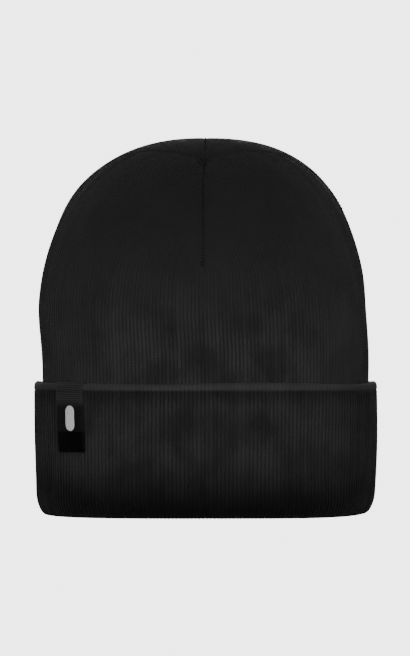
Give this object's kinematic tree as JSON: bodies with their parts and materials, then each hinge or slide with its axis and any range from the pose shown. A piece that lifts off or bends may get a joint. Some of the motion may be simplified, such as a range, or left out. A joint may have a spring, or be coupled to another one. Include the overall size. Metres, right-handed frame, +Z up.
{
  "type": "knit beanie",
  "caption": "Lined knit beanie with a domed crown, turned-up cuff, folded ribbon label and inside care label.",
  "frame": {"origin": "middle of the rim's underside, on the surface that the hat stands on", "axes": "+Z up to the crown, -Y towards the side seen from the front, -X towards the ribbon label; the long axis of the head opening runs along X"},
  "size_m": [0.2056, 0.1706, 0.2291],
  "materials": {
    "crown_knit": "matte",
    "lining_knit": "matte",
    "cuff_knit": "matte",
    "linking_thread": "matte",
    "lining_thread": "matte",
    "label_ribbon": "matte",
    "label_weave_mark": "matte",
    "label_thread": "matte",
    "care_ribbon": "matte",
    "care_thread": "matte"
  },
  "bodies": {
    "crown": {"crown_shell": "crown_knit", "crown_lining": "lining_knit", "dart_seam_front": "linking_thread", "dart_seam_back": "linking_thread", "dart_seam_left": "linking_thread", "dart_seam_right": "linking_thread", "crown_gather_ring": "linking_thread", "lining_seam_front": "lining_thread", "lining_seam_back": "lining_thread", "lining_seam_left": "lining_thread", "lining_seam_right": "lining_thread", "lining_gather_ring": "lining_thread", "care_label_tab": "care_ribbon", "care_label_stitches": "care_thread"},
    "cuff": {"cuff_outer_leaf": "cuff_knit", "cuff_inner_leaf": "cuff_knit", "label_saddle": "label_ribbon", "label_stitches": "label_thread"},
    "label_loop": {"label_flap": "label_ribbon", "label_mark": "label_weave_mark"},
    "care_leaf": {"care_label": "care_ribbon"}
  },
  "joints": [
    {"name": "cuff_pull_down", "type": "slide", "parent": "crown", "child": "cuff", "axis": [0, 0, -1], "range_m": [0, 0.055]},
    {"name": "label_flip", "type": "hinge", "parent": "cuff", "child": "label_loop", "pos_m": [-0.08206, -0.06376, 0.074], "axis": [-0.738, 0.6748, 0], "range_deg": [0, 120]},
    {"name": "care_label_swing", "type": "hinge", "parent": "crown", "child": "care_leaf", "pos_m": [0, 0.07443, 0.06], "axis": [-1, 0, 0], "range_deg": [0, 70]}
  ]
}
